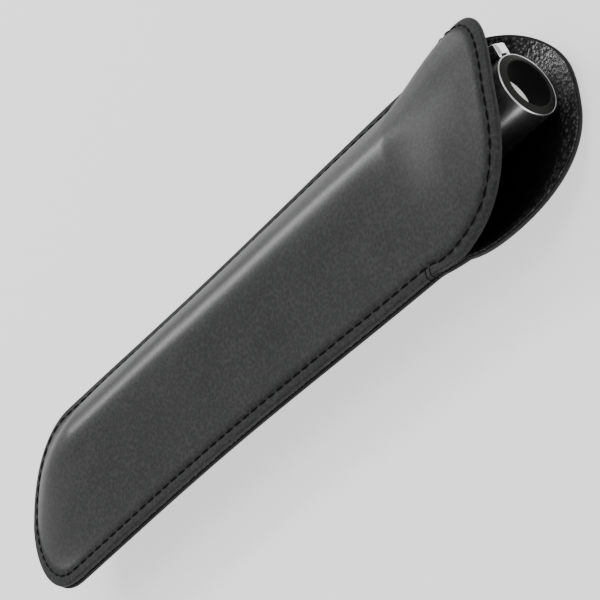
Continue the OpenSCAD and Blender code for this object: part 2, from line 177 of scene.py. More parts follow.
def marginLift(u, y):
    near = np.minimum(1, fromSewnEdge(u, y) / sleeve["frontMargin"])
    return sleeve["marginRise"] * (1 - mouthOpen(y, sleeve["opensBefore"])) * near


def innerFace(side, u, y):
    z = marginLift(u, y)
    height = z + (side * crownHeight(side, y) - z) * archShare(side, u, y) * domeShare(side, u, y)
    return np.stack([halfWidth(side, y) * u + middle(y), y, height], -1)


slopeStep = {"front": 0.02, "back": 0.06, "along": 0.1}


def outward(side, u, y):
    across = slopeStep["front"] if side > 0 else slopeStep["back"]
    along = slopeStep["along"]
    wayAcross = innerFace(side, u + across, y) - innerFace(side, u - across, y)
    wayAlong = innerFace(side, u, y + along) - innerFace(side, u, y - along)
    normal = side * np.cross(wayAcross, wayAlong)
    return normal / np.linalg.norm(normal, axis=-1, keepdims=True)


outline = {"rimSteps": 200, "seamSteps": 80, "seamFoot": 16}


def outlinePath(side):
    turn = np.linspace(0, 1, outline["rimSteps"])
    tipToLeft = -np.sin(np.pi / 2 * turn)
    foot = -np.cos(np.pi * np.linspace(0, 1, 2 * outline["rimSteps"]))
    down = np.linspace(seamLength, outline["seamFoot"], outline["seamSteps"])[1:-1]
    rows = [(tipToLeft, seamLength + tongueRim(side, tipToLeft)), (-np.ones(len(down)), down),
            (foot, footLine(foot)), (np.ones(len(down)), down[::-1])]
    rows.append((-tipToLeft[::-1], rows[0][1][::-1]))
    u = np.concatenate([r[0] for r in rows])
    y = np.concatenate([r[1] for r in rows])
    return np.stack([halfWidth(side, y) * u + middle(y), y], -1)


def insetPath(path, distance):
    way = np.gradient(path, axis=0)
    turned = np.stack([-way[:, 1], way[:, 0]], -1)
    return path + distance * turned / np.maximum(1e-6, np.linalg.norm(turned, axis=1, keepdims=True))


chunk = 3000  # points measured at a time, to spare memory


def distanceTo(path, points):
    starts, ways = path[:-1], path[1:] - path[:-1]
    lengths = np.maximum(1e-9, (ways ** 2).sum(-1))
    best = np.full(len(points), 1e9)
    for first in range(0, len(points), chunk):
        gap = points[first:first + chunk, None, :] - starts[None]
        t = np.clip((gap * ways[None]).sum(-1) / lengths, 0, 1)
        best[first:first + chunk] = np.sqrt(((gap - t[..., None] * ways[None]) ** 2).sum(-1).min(1))
    return best


panelGrid = {"edgeColumns": 20, "bellyColumns": 100, "edgeRows": 16, "domeRows": 34, "middleRows": 96,
             "mouthRows": 90, "edgeCrowding": 1.5, "footCrowding": 1.4, "rimCrowding": 1.35}


def gridPlaces(side):
    g = panelGrid
    flat = flatAcross(side)
    edge = 1 - (1 - flat) * (np.arange(g["edgeColumns"]) / g["edgeColumns"]) ** g["edgeCrowding"]
    belly = flat * np.sin(np.pi * (np.linspace(0, 1, g["bellyColumns"]) - 0.5))
    columns = np.concatenate([-edge, belly, edge[::-1]])
    low = footLine(columns)
    fold = foldLine(side, columns)
    first = fold + domeLength(side)
    last = seamLength - sleeve["mouthLength"]
    top = seamLength + tongueRim(side, columns)
    steps = {name: np.arange(g[name])[:, None] / g[name] for name in ("edgeRows", "domeRows", "middleRows")}
    parts = [low + (fold - low) * t ** g["footCrowding"] for t in steps["edgeRows"]]
    parts += [fold + (first - fold) * t for t in steps["domeRows"]]
    parts += [first + (last - first) * t for t in steps["middleRows"]]
    t = np.linspace(0, 1, g["mouthRows"] + 1)[:, None]
    parts += [last + (top - last) * (1 - (1 - k) ** g["rimCrowding"]) for k in t]
    y = np.array(parts)
    return np.broadcast_to(columns, y.shape).copy(), y


# low waves that leather takes on with use
waves = {"count": 14, "shortest": 9, "longest": 30, "across": 1.5, "along": 0.7, "share": 6, "height": 0.07,
         "start": 3.2, "fade": 5}


def softWaves(points, seed):
    rng = np.random.default_rng(seed)
    total = np.zeros(points.shape[:2])
    for _ in range(waves["count"]):
        wave = rng.uniform(waves["shortest"], waves["longest"])
        angle = rng.uniform(0, 2 * np.pi)
        phase = rng.uniform(0, 2 * np.pi)
        way = (points[..., 0] * np.cos(angle) * waves["across"]
               + points[..., 1] * np.sin(angle) * waves["along"])
        total += np.sin(2 * np.pi * way / wave + phase) * wave / waves["longest"]
    return total / waves["share"]


stitching = {"inset": 2.0, "pitch": 2.45, "threadRadius": 0.15, "grooveDepth": 0.12, "grooveWidth": 0.42,
             "holeLong": 0.3, "holeWide": 0.22, "holeCorners": 10, "holeUneven": 0.12, "holeLift": 0.03,
             "holeEdgeLift": 0.012, "threadStart": 0.07, "threadShare": 0.86, "threadSteps": 9,
             "threadSides": 8, "threadTwist": 0.8, "threadSunk": 0.18, "threadArch": 0.34, "archCurve": 0.45,
             "threadEnd": 0.8, "lean": 0.05}
cutEdge = {"roll": 0.3, "upright": 0.9}
baseLine = {side: outlinePath(side) for side in (1, -1)}


def toWorld(points):
    return (points + caseOrigin) * mm


def meshPiece(name, vertices, faces, materials, faceMaterials=None):
    mesh = bpy.data.meshes.new(name)
    mesh.from_pydata([tuple(v) for v in vertices], [], faces)
    for m in materials:
        mesh.materials.append(m)
    if faceMaterials is not None:
        mesh.polygons.foreach_set("material_index", np.array(faceMaterials, dtype=np.int32))
    mesh.polygons.foreach_set("use_smooth", np.full(len(mesh.polygons), True))
    mesh.update()
    piece = bpy.data.objects.new(name, mesh)
    bpy.context.scene.collection.objects.link(piece)
    return piece


def gridFaces(rows, columns, start, flip):
    faces = []
    for i in range(rows - 1):
        for j in range(columns - 1):
            a = start + i * columns + j
            quad = (a, a + 1, a + columns + 1, a + columns)
            faces.append(quad[::-1] if flip else quad)
    return faces


def rimLoop(rows, columns):
    return (list(range(columns)) + [i * columns + columns - 1 for i in range(1, rows)]
            + [(rows - 1) * columns + j for j in range(columns - 2, -1, -1)]
            + [i * columns for i in range(rows - 2, 0, -1)])


def skinPiece(name, side, low, high, materials, inset=0.0, stitched=True, seed=1):
    u, y = gridPlaces(side)
    if inset:
        u = u * (1 - inset / halfSleeve)
        bottom, top = y[0].copy(), y[-1].copy()
        y = bottom + inset + (y - bottom) * (1 - 2 * inset / (top - bottom))
    points = innerFace(side, u, y)
    rows, columns = u.shape
    fromEdge = distanceTo(baseLine[side], points.reshape(-1, 3)[:, :2]).reshape(rows, columns)
    normal = outward(side, u, y)
    # near the cut edge the thickness stands straight up, so the cut face is upright
    normal[..., :2] *= np.clip(fromEdge / cutEdge["upright"], 0, 1)[..., None]
    normal /= np.linalg.norm(normal, axis=-1, keepdims=True)
    outer = np.full((rows, columns), high)
    if stitched:
        s = stitching
        outer -= s["grooveDepth"] * np.exp(-((fromEdge - s["inset"]) / s["grooveWidth"]) ** 2)
        roll = np.clip(1 - fromEdge / cutEdge["roll"], 0, 1)
        outer -= cutEdge["roll"] * (1 - np.sqrt(1 - roll ** 2))
        share = ease((fromEdge - waves["start"]) / waves["fade"])
        outer += waves["height"] * softWaves(points, seed) * share
    top = points + normal * outer[..., None]
    under = points + normal * low
    vertices = np.concatenate([top.reshape(-1, 3), under.reshape(-1, 3)])
    layer = rows * columns
    faces = gridFaces(rows, columns, 0, side < 0) + gridFaces(rows, columns, layer, side > 0)
    marks = [0] * len(faces)
    loop = rimLoop(rows, columns)
    for k, a in enumerate(loop):
        b = loop[(k + 1) % len(loop)]
        quad = (a, a + layer, b + layer, b)
        faces.append(quad if side > 0 else quad[::-1])
        marks.append(len(materials) - 1)
    piece = meshPiece(name, toWorld(vertices), faces, materials, marks)
    seam = piece.data.attributes.new("fromSeam", "FLOAT", "POINT")
    seam.data.foreach_set("value", np.tile(fromEdge.ravel(), 2).astype(np.float32))
    return piece


def newGroup(name, inputs, outputs):
    group = bpy.data.node_groups.new(name, "ShaderNodeTree")
    for label, kind, value in inputs:
        socket = group.interface.new_socket(name=label, in_out="INPUT", socket_type=kind)
        socket.default_value = value
    for label, kind in outputs:
        group.interface.new_socket(name=label, in_out="OUTPUT", socket_type=kind)
    return group, group.nodes.new("NodeGroupInput"), group.nodes.new("NodeGroupOutput")


def mathNode(tree, operation, a, b=None):
    node = tree.nodes.new("ShaderNodeMath")
    node.operation = operation
    for slot, value in ((0, a), (1, b)):
        if value is None:
            continue
        if isinstance(value, (int, float)):
            node.inputs[slot].default_value = value
        else:
            tree.links.new(value, node.inputs[slot])
    return node.outputs[0]


def leatherGrainGroup():
    # pores and pebbles: cell edges broken up by fine noise
    look = {"smoothness": 0.35, "fineDetail": 3, "bendScale": 420, "bend": 0.7 * mm, "cloudScale": 75,
            "cloudDetail": 4, "crest": 1.2, "fineShare": 0.4}
    group, entry, result = newGroup(
        "leatherGrain",
        [("Cells", "NodeSocketFloat", 1500.0), ("Fine", "NodeSocketFloat", 5200.0),
         ("Pebble", "NodeSocketFloat", 0.5)],
        [("Height", "NodeSocketFloat"), ("Pores", "NodeSocketFloat"), ("Cloud", "NodeSocketFloat")])
    place = group.nodes.new("ShaderNodeTexCoord")
    cells = group.nodes.new("ShaderNodeTexVoronoi")
    cells.feature = "SMOOTH_F1"
    cells.inputs["Smoothness"].default_value = look["smoothness"]
    fine = group.nodes.new("ShaderNodeTexNoise")
    fine.inputs["Detail"].default_value = look["fineDetail"]
    bend = group.nodes.new("ShaderNodeTexNoise")
    bend.inputs["Scale"].default_value = look["bendScale"]
    cloud = group.nodes.new("ShaderNodeTexNoise")
    cloud.inputs["Scale"].default_value = look["cloudScale"]
    cloud.inputs["Detail"].default_value = look["cloudDetail"]
    shift = group.nodes.new("ShaderNodeVectorMath")
    shift.operation = "MULTIPLY_ADD"
    shift.inputs[1].default_value = [look["bend"]] * 3
    group.links.new(place.outputs["Object"], bend.inputs["Vector"])
    group.links.new(bend.outputs["Color"], shift.inputs[0])
    group.links.new(place.outputs["Object"], shift.inputs[2])
    group.links.new(shift.outputs[0], cells.inputs["Vector"])
    group.links.new(place.outputs["Object"], fine.inputs["Vector"])
    group.links.new(place.outputs["Object"], cloud.inputs["Vector"])
    group.links.new(entry.outputs["Cells"], cells.inputs["Scale"])
    group.links.new(entry.outputs["Fine"], fine.inputs["Scale"])
    sunk = mathNode(group, "MULTIPLY", cells.outputs["Distance"], look["crest"])
    pebbles = mathNode(group, "MULTIPLY", mathNode(group, "SUBTRACT", 1.0, sunk), entry.outputs["Pebble"])
    small = mathNode(group, "MULTIPLY", fine.outputs["Fac"], look["fineShare"])
    height = mathNode(group, "ADD", pebbles, small)
    group.links.new(height, result.inputs["Height"])
    group.links.new(cells.outputs["Distance"], result.inputs["Pores"])
    group.links.new(cloud.outputs["Fac"], result.inputs["Cloud"])
    return group


def rubGroup():
    # soft marks left by handling, in broad patches broken by fine lines
    look = {"stretch": (1.0, 0.35, 1.0), "detail": 6, "roughness": 0.65, "threshold": 0.45, "contrast": 3.0}
    group, entry, result = newGroup(
        "handlingMarks", [("Size", "NodeSocketFloat", 120.0), ("Amount", "NodeSocketFloat", 0.4)],
        [("Mask", "NodeSocketFloat")])
    place = group.nodes.new("ShaderNodeTexCoord")
    stretch = group.nodes.new("ShaderNodeMapping")
    stretch.inputs["Scale"].default_value = look["stretch"]
    patch = group.nodes.new("ShaderNodeTexNoise")
    patch.inputs["Detail"].default_value = look["detail"]
    patch.inputs["Roughness"].default_value = look["roughness"]
    group.links.new(place.outputs["Object"], stretch.inputs["Vector"])
    group.links.new(stretch.outputs[0], patch.inputs["Vector"])
    group.links.new(entry.outputs["Size"], patch.inputs["Scale"])
    mask = mathNode(group, "SUBTRACT", patch.outputs["Fac"], look["threshold"])
    mask = mathNode(group, "MAXIMUM", mathNode(group, "MULTIPLY", mask, look["contrast"]), 0.0)
    group.links.new(mathNode(group, "MULTIPLY", mask, entry.outputs["Amount"]), result.inputs["Mask"])
    return group


def seamBandGroup():
    # rises from 0 at a distance from the cut edge to 1 further in
    group, entry, result = newGroup(
        "seamBand", [("Start", "NodeSocketFloat", 3.0), ("Width", "NodeSocketFloat", 1.0)],
        [("Mask", "NodeSocketFloat")])
    seam = group.nodes.new("ShaderNodeAttribute")
    seam.attribute_name = "fromSeam"
    inside = mathNode(group, "SUBTRACT", seam.outputs["Fac"], entry.outputs["Start"])
    inside = mathNode(group, "DIVIDE", inside, entry.outputs["Width"])
    mask = mathNode(group, "MINIMUM", mathNode(group, "MAXIMUM", inside, 0.0), 1.0)
    group.links.new(mask, result.inputs["Mask"])
    return group


grainGroup = leatherGrainGroup()
marksGroup = rubGroup()
bandGroup = seamBandGroup()


def newMaterial(name, settings):
    material = bpy.data.materials.new(name)
    material.use_nodes = True
    shader = material.node_tree.nodes["Principled BSDF"]
    for label, value in settings.items():
        shader.inputs[label].default_value = value
    return material, material.node_tree, shader


def placeGroup(tree, group, **values):
    node = tree.nodes.new("ShaderNodeGroup")
    node.node_tree = group
    for label, value in values.items():
        node.inputs[label].default_value = value
    return node


def ramp(tree, source, stops):
    node = tree.nodes.new("ShaderNodeValToRGB")
    while len(node.color_ramp.elements) < len(stops):
        node.color_ramp.elements.new(0.5)
    for element, (place, colour) in zip(node.color_ramp.elements, stops):
        element.position = place
        element.color = (*colour, 1)
    tree.links.new(source, node.inputs[0])
    return node.outputs["Color"]


def bump(tree, shader, height, distance, strength):
    node = tree.nodes.new("ShaderNodeBump")
    node.inputs["Distance"].default_value = distance
    node.inputs["Strength"].default_value = strength
    tree.links.new(height, node.inputs["Height"])
    tree.links.new(node.outputs[0], shader.inputs["Normal"])


def mixed(tree, share, one, two):
    node = tree.nodes.new("ShaderNodeMixRGB")
    tree.links.new(share, node.inputs["Fac"])
    tree.links.new(one, node.inputs["Color1"])
    tree.links.new(two, node.inputs["Color2"])
    return node.outputs["Color"]


# shares that all leathers have in common
leatherTone = {"cloud": 0.7, "meanPore": 0.45, "darkAt": 0.15, "lightAt": 0.85, "rubbedShine": 0.06,
               "coatRoughness": 0.2, "polishFade": 1.0}


def leatherMaterial(name, look):
    common = leatherTone
    material, tree, shader = newMaterial(name, {"Specular IOR Level": look["sheen"],
                                                "Coat Roughness": look.get("polishRoughness",
                                                                           common["coatRoughness"])})
    grain = placeGroup(tree, grainGroup, Cells=look["cells"], Fine=look["fine"], Pebble=look["pebble"])
    marks = placeGroup(tree, marksGroup, Size=look["markSize"], Amount=look["markAmount"])
    cloudy = mathNode(tree, "MULTIPLY", grain.outputs["Cloud"], common["cloud"])
    cloudy = mathNode(tree, "ADD", cloudy, marks.outputs["Mask"])
    pores = mathNode(tree, "SUBTRACT", grain.outputs["Pores"], common["meanPore"])
    cloudy = mathNode(tree, "ADD", cloudy, mathNode(tree, "MULTIPLY", pores, look["poreTone"]))
    colour = ramp(tree, cloudy, [(common["darkAt"], look["dark"]), (common["lightAt"], look["light"])])
    height = grain.outputs["Height"]
    if "band" in look:
        # the grain stands out in a band along the edge and is worn smooth further in; in the band the colour
        # is a painted highlight, lighter overall and lightest on the pebble crests
        share = placeGroup(tree, bandGroup, Start=look["band"], Width=look["bandFade"]).outputs["Mask"]
        crestHighlights = ramp(tree, grain.outputs["Height"], look["bandHighlightStops"])
        colour = mixed(tree, share, crestHighlights, colour)
        strength = mathNode(tree, "SUBTRACT", 1.0, mathNode(tree, "MULTIPLY", share, look["smoothed"]))
        height = mathNode(tree, "MULTIPLY", height, strength)
    tree.links.new(colour, shader.inputs["Base Color"])
    rough = mathNode(tree, "MULTIPLY", grain.outputs["Pores"], look["poreRoughness"])
    rough = mathNode(tree, "ADD", look["roughness"], rough)
    rubbed = mathNode(tree, "MULTIPLY", marks.outputs["Mask"], common["rubbedShine"])
    tree.links.new(mathNode(tree, "SUBTRACT", rough, rubbed), shader.inputs["Roughness"])
    if "polish" in look:
        # the sewn margin stays matt, and the polish begins on the dome
        inside = placeGroup(tree, bandGroup, Start=look["polishStart"], Width=common["polishFade"])
        share = inside.outputs["Mask"]
        tree.links.new(mathNode(tree, "MULTIPLY", share, look["polish"]), shader.inputs["Coat Weight"])
    bump(tree, shader, height, look["depth"] * mm, look["bump"])
    return material


outerLook = {"cells": 1700.0, "fine": 6000.0, "pebble": 0.6, "markSize": 90.0, "markAmount": 0.3,
             "dark": (0.024, 0.0243, 0.0252), "light": (0.046, 0.0463, 0.0472), "roughness": 0.78,
             "poreRoughness": 0.06, "poreTone": 1.1, "sheen": 0.12, "depth": 0.035, "bump": 0.6,
             "polish": 0.34, "polishStart": 2.7, "polishRoughness": 0.33}
liningLook = {"cells": 1500.0, "fine": 3600.0, "pebble": 1.0, "markSize": 160.0, "markAmount": 0.4,
              "dark": (0.004, 0.004, 0.0042), "light": (0.009, 0.009, 0.0095), "roughness": 0.3,
              "poreRoughness": 0.15, "poreTone": 0.5, "sheen": 0.4, "depth": 0.12, "bump": 0.9,
              "band": 3.2, "bandFade": 2.0,
              # painted highlight: these band colours light up the pebble crests near the rim
              "bandHighlightStops": [(0.4, (0.006, 0.006, 0.006)), (0.72, (0.028, 0.028, 0.029)),
                            (0.9, (0.1, 0.1, 0.1))], "smoothed": 0.85}
edgeLook = {"cells": 2600.0, "fine": 4200.0, "pebble": 0.5, "markSize": 300.0, "markAmount": 0.6,
            "dark": (0.018, 0.018, 0.019), "light": (0.03, 0.03, 0.031), "roughness": 0.7,
            "poreRoughness": 0.1, "poreTone": 0.5, "sheen": 0.2, "depth": 0.04, "bump": 0.5}
outerLeather = leatherMaterial("smoothBlackLeather", outerLook)
liningLeather = leatherMaterial("pebbledLining", liningLook)
edgePaint = leatherMaterial("paintedEdge", edgeLook)


threadLook = {"roughness": 0.85, "sheen": 0.1, "fibres": 9000, "depth": 0.03, "bump": 0.6,
              "stops": [(0.3, (0.004, 0.004, 0.004)), (0.7, (0.009, 0.009, 0.0095))]}


def threadMaterial(look):
    material, tree, shader = newMaterial("waxedThread", {"Roughness": look["roughness"],
                                                         "Specular IOR Level": look["sheen"]})
    place = tree.nodes.new("ShaderNodeTexCoord")
    fibre = tree.nodes.new("ShaderNodeTexNoise")
    fibre.inputs["Scale"].default_value = look["fibres"]
    tree.links.new(place.outputs["Object"], fibre.inputs["Vector"])
    tree.links.new(ramp(tree, fibre.outputs["Fac"], look["stops"]), shader.inputs["Base Color"])
    bump(tree, shader, fibre.outputs["Fac"], look["depth"] * mm, look["bump"])
    return material


coatGloss = 0.04  # roughness of every clear coat on the pen


def polishMaterial(name, look):
    # emission from the look's paintedGlow is painted light, a glow on a part that is no lamp
    material, tree, shader = newMaterial(name, {
        "Metallic": look["metal"], "Specular IOR Level": look.get("shine", 0.5),
        "Coat Weight": look.get("coat", 0.0), "Coat Roughness": coatGloss,
        "IOR": look.get("ior", 1.5), "Transmission Weight": look.get("clear", 0.0),
        "Emission Color": (1, 1, 1, 1), "Emission Strength": look.get("paintedGlow", 0.0)})
    marks = placeGroup(tree, marksGroup, Size=look["markSize"], Amount=look["markAmount"])
    tree.links.new(ramp(tree, marks.outputs["Mask"], [(0.0, look["colour"]), (1.0, look["worn"])]),
                   shader.inputs["Base Color"])
    worn = mathNode(tree, "MULTIPLY", marks.outputs["Mask"], look["wearRoughness"])
    tree.links.new(mathNode(tree, "ADD", look["roughness"], worn), shader.inputs["Roughness"])
    return material


blackThread = threadMaterial(threadLook)
# painted shade: a near-black sheet laid where the needle holes and the clip's pin hole are in shade
needleHoleShade, _, _ = newMaterial("needleHoleShade", {"Base Color": (0.003, 0.003, 0.003, 1), "Roughness": 0.9})
polishedChrome = polishMaterial("polishedChrome", {
    "metal": 1.0, "colour": (0.9, 0.9, 0.9), "worn": (0.84, 0.84, 0.85), "roughness": 0.16,
    "wearRoughness": 0.1, "markSize": 400.0, "markAmount": 0.5})
capChrome = polishMaterial("capChrome", {
    "metal": 1.0, "colour": (0.92, 0.92, 0.92), "worn": (0.86, 0.86, 0.87), "roughness": 0.28,
    "wearRoughness": 0.05, "markSize": 400.0, "markAmount": 0.5})
satinSteel = polishMaterial("satinSteel", {
    "metal": 1.0, "colour": (0.9, 0.9, 0.9), "worn": (0.8, 0.8, 0.8), "roughness": 0.3, "wearRoughness": 0.1,
    "markSize": 500.0, "markAmount": 0.5})
blackResin = polishMaterial("polishedBlackResin", {
    "metal": 0.0, "colour": (0.012, 0.012, 0.013), "worn": (0.02, 0.02, 0.021), "roughness": 0.16,
    "wearRoughness": 0.04, "markSize": 350.0, "markAmount": 0.5, "coat": 0.6})
satinResin = polishMaterial("satinBlackResin", {
    "metal": 0.0, "colour": (0.02, 0.02, 0.019), "worn": (0.026, 0.026, 0.025), "roughness": 0.6,
    "wearRoughness": 0.1, "markSize": 350.0, "markAmount": 0.5, "shine": 0.08})
# painted shade for the wall of the recess in the cap's end ring
recessPaintedShade = polishMaterial("recessPaintedShade", {
    "metal": 0.0, "colour": (0.003, 0.003, 0.003), "worn": (0.005, 0.005, 0.005), "roughness": 0.6,
    "wearRoughness": 0.1, "markSize": 350.0, "markAmount": 0.5, "shine": 0.08})
# painted reflection: the steel end disc gets a pale colour and a glow in place of the white surroundings it
# reflects
paintedReflectionDisc = polishMaterial("paintedReflectionDisc", {
    "metal": 0.0, "colour": (0.85, 0.85, 0.84), "worn": (0.78, 0.78, 0.77), "roughness": 0.3,
    "wearRoughness": 0.1, "markSize": 350.0, "markAmount": 0.4, "paintedGlow": 0.6})
clearResin = polishMaterial("clearResin", {
    "metal": 0.0, "colour": (0.86, 0.9, 0.92), "worn": (0.8, 0.84, 0.86), "roughness": 0.05,
    "wearRoughness": 0.05, "markSize": 400.0, "markAmount": 0.3, "clear": 0.9, "ior": 1.49})
sealRubber = polishMaterial("sealRubber", {
    "metal": 0.0, "colour": (0.02, 0.02, 0.02), "worn": (0.03, 0.03, 0.03), "roughness": 0.6,
    "wearRoughness": 0.1, "markSize": 500.0, "markAmount": 0.5})
print("materials made")

sides = {1: "front", -1: "back"}
panels = {"seed": 5, "liningInset": 0.3, "liningOverlap": 0.02}
skins = {}
for side, label in sides.items():
    skins[side] = skinPiece(label + "LeatherSkin", side, sleeve["lining"], panelThickness,
                            [outerLeather, edgePaint], seed=panels["seed"] + side)
    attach(skins[side], "case")
    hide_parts(label + "_leather")
    lining = skinPiece(label + "LiningSkin", side, 0.0, sleeve["lining"] + panels["liningOverlap"],
                       [liningLeather], inset=panels["liningInset"], stitched=False)
    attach(lining, "case")
    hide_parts(label + "_lining")
print("leather panels made")


twistDepth = 0.14  # how far the plies of a twisted thread stand out
probeHeight = 0.2  # from where the nearest spot of a skin is looked up


def tubeAlong(centres, radii, count, vertices, faces, twist=0.0):
    start = len(vertices)
    centres = [Vector(c) for c in centres]
    for k, centre in enumerate(centres):
        way = (centres[min(k + 1, len(centres) - 1)] - centres[max(k - 1, 0)]).normalized()
        side = way.orthogonal().normalized() if k == 0 else (side - way * side.dot(way)).normalized()
        other = way.cross(side)
        for j in range(count):
            a = 2 * math.pi * j / count
            r = radii[k] * (1 + twistDepth * math.cos(2 * a + twist * k))
            vertices.append(centre + side * (r * math.cos(a)) + other * (r * math.sin(a)))
    for k in range(len(centres) - 1):
        for j in range(count):
            a, b = start + k * count + j, start + k * count + (j + 1) % count
            faces.append((a, b, b + count, a + count))
    faces.append(tuple(start + j for j in range(count))[::-1])
    faces.append(tuple(start + (len(centres) - 1) * count + j for j in range(count)))


def surfaceFinder(piece):
    tree = BVHTree.FromPolygons([v.co.copy() for v in piece.data.vertices],
                                [tuple(p.vertices) for p in piece.data.polygons])

    def find(side, x, y):
        u = np.array((x - middle(y)) / halfWidth(side, y))
        place = innerFace(side, u, np.array(y))
        way = outward(side, u, np.array(y))
        above = toWorld(place + (panelThickness + probeHeight) * way)
        spot, normal, _, _ = tree.find_nearest(Vector(above))
        return spot, normal
    return find


threadSeed = 11


def stitchPieces(side, label):
    s = stitching
    rng = random.Random(threadSeed + side)
    find = surfaceFinder(skins[side])
    path = insetPath(baseLine[side], s["inset"])
    steps = np.concatenate([[0], np.cumsum(np.linalg.norm(np.diff(path, axis=0), axis=1))])
    count = int(steps[-1] / s["pitch"])
    pitch = steps[-1] / count

    def spotAt(distance):
        return find(side, np.interp(distance, steps, path[:, 0]), np.interp(distance, steps, path[:, 1]))

    vertices, faces, holeVertices, holeFaces = [], [], [], []
    for k in range(count):
        lean = rng.uniform(-s["lean"], s["lean"])
        centres, radii = [], []
        for t in np.linspace(0, 1, s["threadSteps"]):
            spot, normal = spotAt((k + s["threadStart"] + s["threadShare"] * t) * pitch)
            lift = -s["threadSunk"] + s["threadArch"] * math.sin(math.pi * t) ** s["archCurve"]
            centres.append(spot + normal * (lift * mm) + Vector((lean * (t - 0.5), 0, 0)) * mm)
            full = s["threadEnd"] + (1 - s["threadEnd"]) * math.sin(math.pi * t)
            radii.append(s["threadRadius"] * mm * full)
        tubeAlong(centres, radii, s["threadSides"], vertices, faces, twist=s["threadTwist"])
    # painted shade: a near-black disc laid over each needle hole
    for k in range(count + 1):
        spot, normal = spotAt(k * pitch)
        ahead, _ = spotAt(min(steps[-1], k * pitch + s["holeLong"]))
        way = (ahead - spot).normalized() if (ahead - spot).length > 1e-7 else Vector((0, 1, 0))
        other = normal.cross(way).normalized()
        start = len(holeVertices)
        holeVertices.append(spot + normal * (s["holeLift"] * mm))
        for j in range(s["holeCorners"]):
            a = 2 * math.pi * j / s["holeCorners"]
            r = (1 + rng.uniform(-s["holeUneven"], s["holeUneven"])) * mm
            edge = spot + way * (s["holeLong"] * r * math.cos(a)) + other * (s["holeWide"] * r * math.sin(a))
            holeVertices.append(edge + normal * (s["holeEdgeLift"] * mm))
            holeFaces.append((start, start + 1 + j, start + 1 + (j + 1) % s["holeCorners"]))
    threads = meshPiece(label + "SeamThread", vertices, faces, [blackThread])
    holeShades = meshPiece(label + "NeedleHoleShades", holeVertices, holeFaces, [needleHoleShade])
    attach(threads, "case")
    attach(holeShades, "case")
    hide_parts(label + "_stitches")


for side, label in sides.items():
    stitchPieces(side, label)
print("stitches sewn")

tack = {"turns": 2, "first": 0.9, "pitch": 1.0, "reach": 1.9, "radius": 0.07, "wrap": 0.05, "nearEdge": 0.3,
        "steps": 9, "sides": 8, "sunk": 0.15, "lift": 0.6, "bend": 0.7}


def tackPiece(way, label):
    find = {side: surfaceFinder(skins[side]) for side in (1, -1)}
    vertices, faces = [], []
    for k in range(tack["turns"]):
        y = seamLength - tack["first"] - k * tack["pitch"]
        rows = {}
        for side in (1, -1):
            rows[side] = []
            for inset in np.linspace(tack["reach"], tack["nearEdge"], tack["steps"]):
                spot, normal = find[side](side, middle(y) + way * (halfWidth(side, y) - inset), y)
                lift = -tack["sunk"] if inset == tack["reach"] else tack["lift"] * tack["radius"]
                rows[side].append(spot + normal * (lift * mm))
        edge = middle(y) + way * (halfWidth(1, y) + tack["wrap"])
        turn = [Vector(toWorld(np.array([edge, y, z * panelThickness])))
                for z in (tack["bend"], 0.0, -tack["bend"])]
        centres = rows[1] + turn + rows[-1][::-1]
        tubeAlong(centres, [tack["radius"] * mm] * len(centres), tack["sides"], vertices, faces)
    piece = meshPiece(label + "TackThread", vertices, faces, [blackThread])
    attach(piece, "case")
    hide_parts(label + "_tack")


tackPiece(-1, "left")
tackPiece(1, "right")
print("tacks tied")

# the pen, z counted from its tail
pen = {"length": 132.5, "start": 12.0, "x": -2.9, "z": -1.95, "capRadius": 6.1, "capLength": 62.0,
       "capWall": 0.55, "recessRadius": 4.4, "recessDepth": 4.5, "crownRise": 0.45, "crownLength": 14.0,
       "lipBand": 2.2, "rimStart": 0.2, "rimSlope": 0.12, "rimOuter": 0.24, "rimInner": 0.32,
       "rimDepth": 0.4, "edgeSoft": 0.06, "ringGap": 0.01, "ringEdge": 0.34, "ringSunk": 0.06,
       "ringShoulder": 0.42, "ringBevel": 0.2, "ringBevelDepth": 0.25, "ringSoft": 0.04,
       "discThick": 1.0, "discHole": 0.001, "wallSlack": 0.02, "segments": 144}
penOrigin = caseOrigin + np.array([pen["x"], pen["start"], pen["z"]])


def penPoint(radius, angle, z):
    return Vector((penOrigin + np.array([radius * math.cos(angle), z, radius * math.sin(angle)])) * mm)


def turned(name, profile, material):
    segments, count = pen["segments"], len(profile)
    vertices, faces = [], []
    for radius, z in profile:
        for j in range(segments):
            vertices.append(penPoint(radius, 2 * math.pi * j / segments, z))
    for k in range(count):
        n = (k + 1) % count
        for j in range(segments):
            m = (j + 1) % segments
            faces.append((k * segments + j, k * segments + m, n * segments + m, n * segments + j))
    return meshPiece(name, vertices, faces, [material])


def rounded(corner, before, after, size, steps=4):
    c, a, b = Vector(corner), Vector(before), Vector(after)
    one, two = c + (a - c).normalized() * size, c + (b - c).normalized() * size
    return [tuple(one.lerp(c, t).lerp(c.lerp(two, t), t)) for t in [k / steps for k in range(steps + 1)]]


def softProfile(points, size):
    result = []
    for k, p in enumerate(points):
        result += rounded(p, points[k - 1], points[(k + 1) % len(points)], size)
    return result


